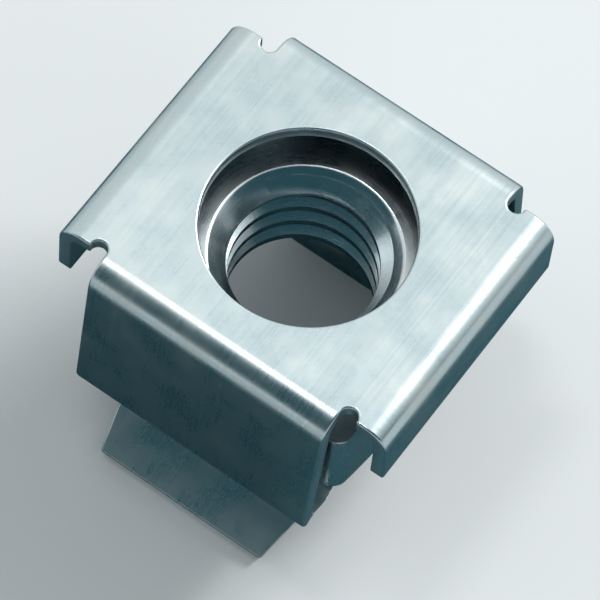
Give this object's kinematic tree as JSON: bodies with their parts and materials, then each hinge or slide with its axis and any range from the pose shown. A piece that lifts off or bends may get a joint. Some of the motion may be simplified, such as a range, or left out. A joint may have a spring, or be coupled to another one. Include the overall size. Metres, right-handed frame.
{
  "type": "rack cage nut",
  "caption": "Square M6 nut held loosely in a folded spring-steel cage, whose two sprung wings snap into the square hole of a rack rail.",
  "frame": {"origin": "on the thread's axis, at the height of the wing lips' lowest edges, on which the cage nut stands", "axes": "+Z along the thread's axis, from the wings to the flat back face; X from wing to wing; Y from tab to tab"},
  "size_m": [0.013, 0.013, 0.0107],
  "materials": {
    "cage": "satin",
    "nut": "satin"
  },
  "bodies": {
    "root": {"cage": "cage", "nut": "nut"}
  },
  "joints": []
}
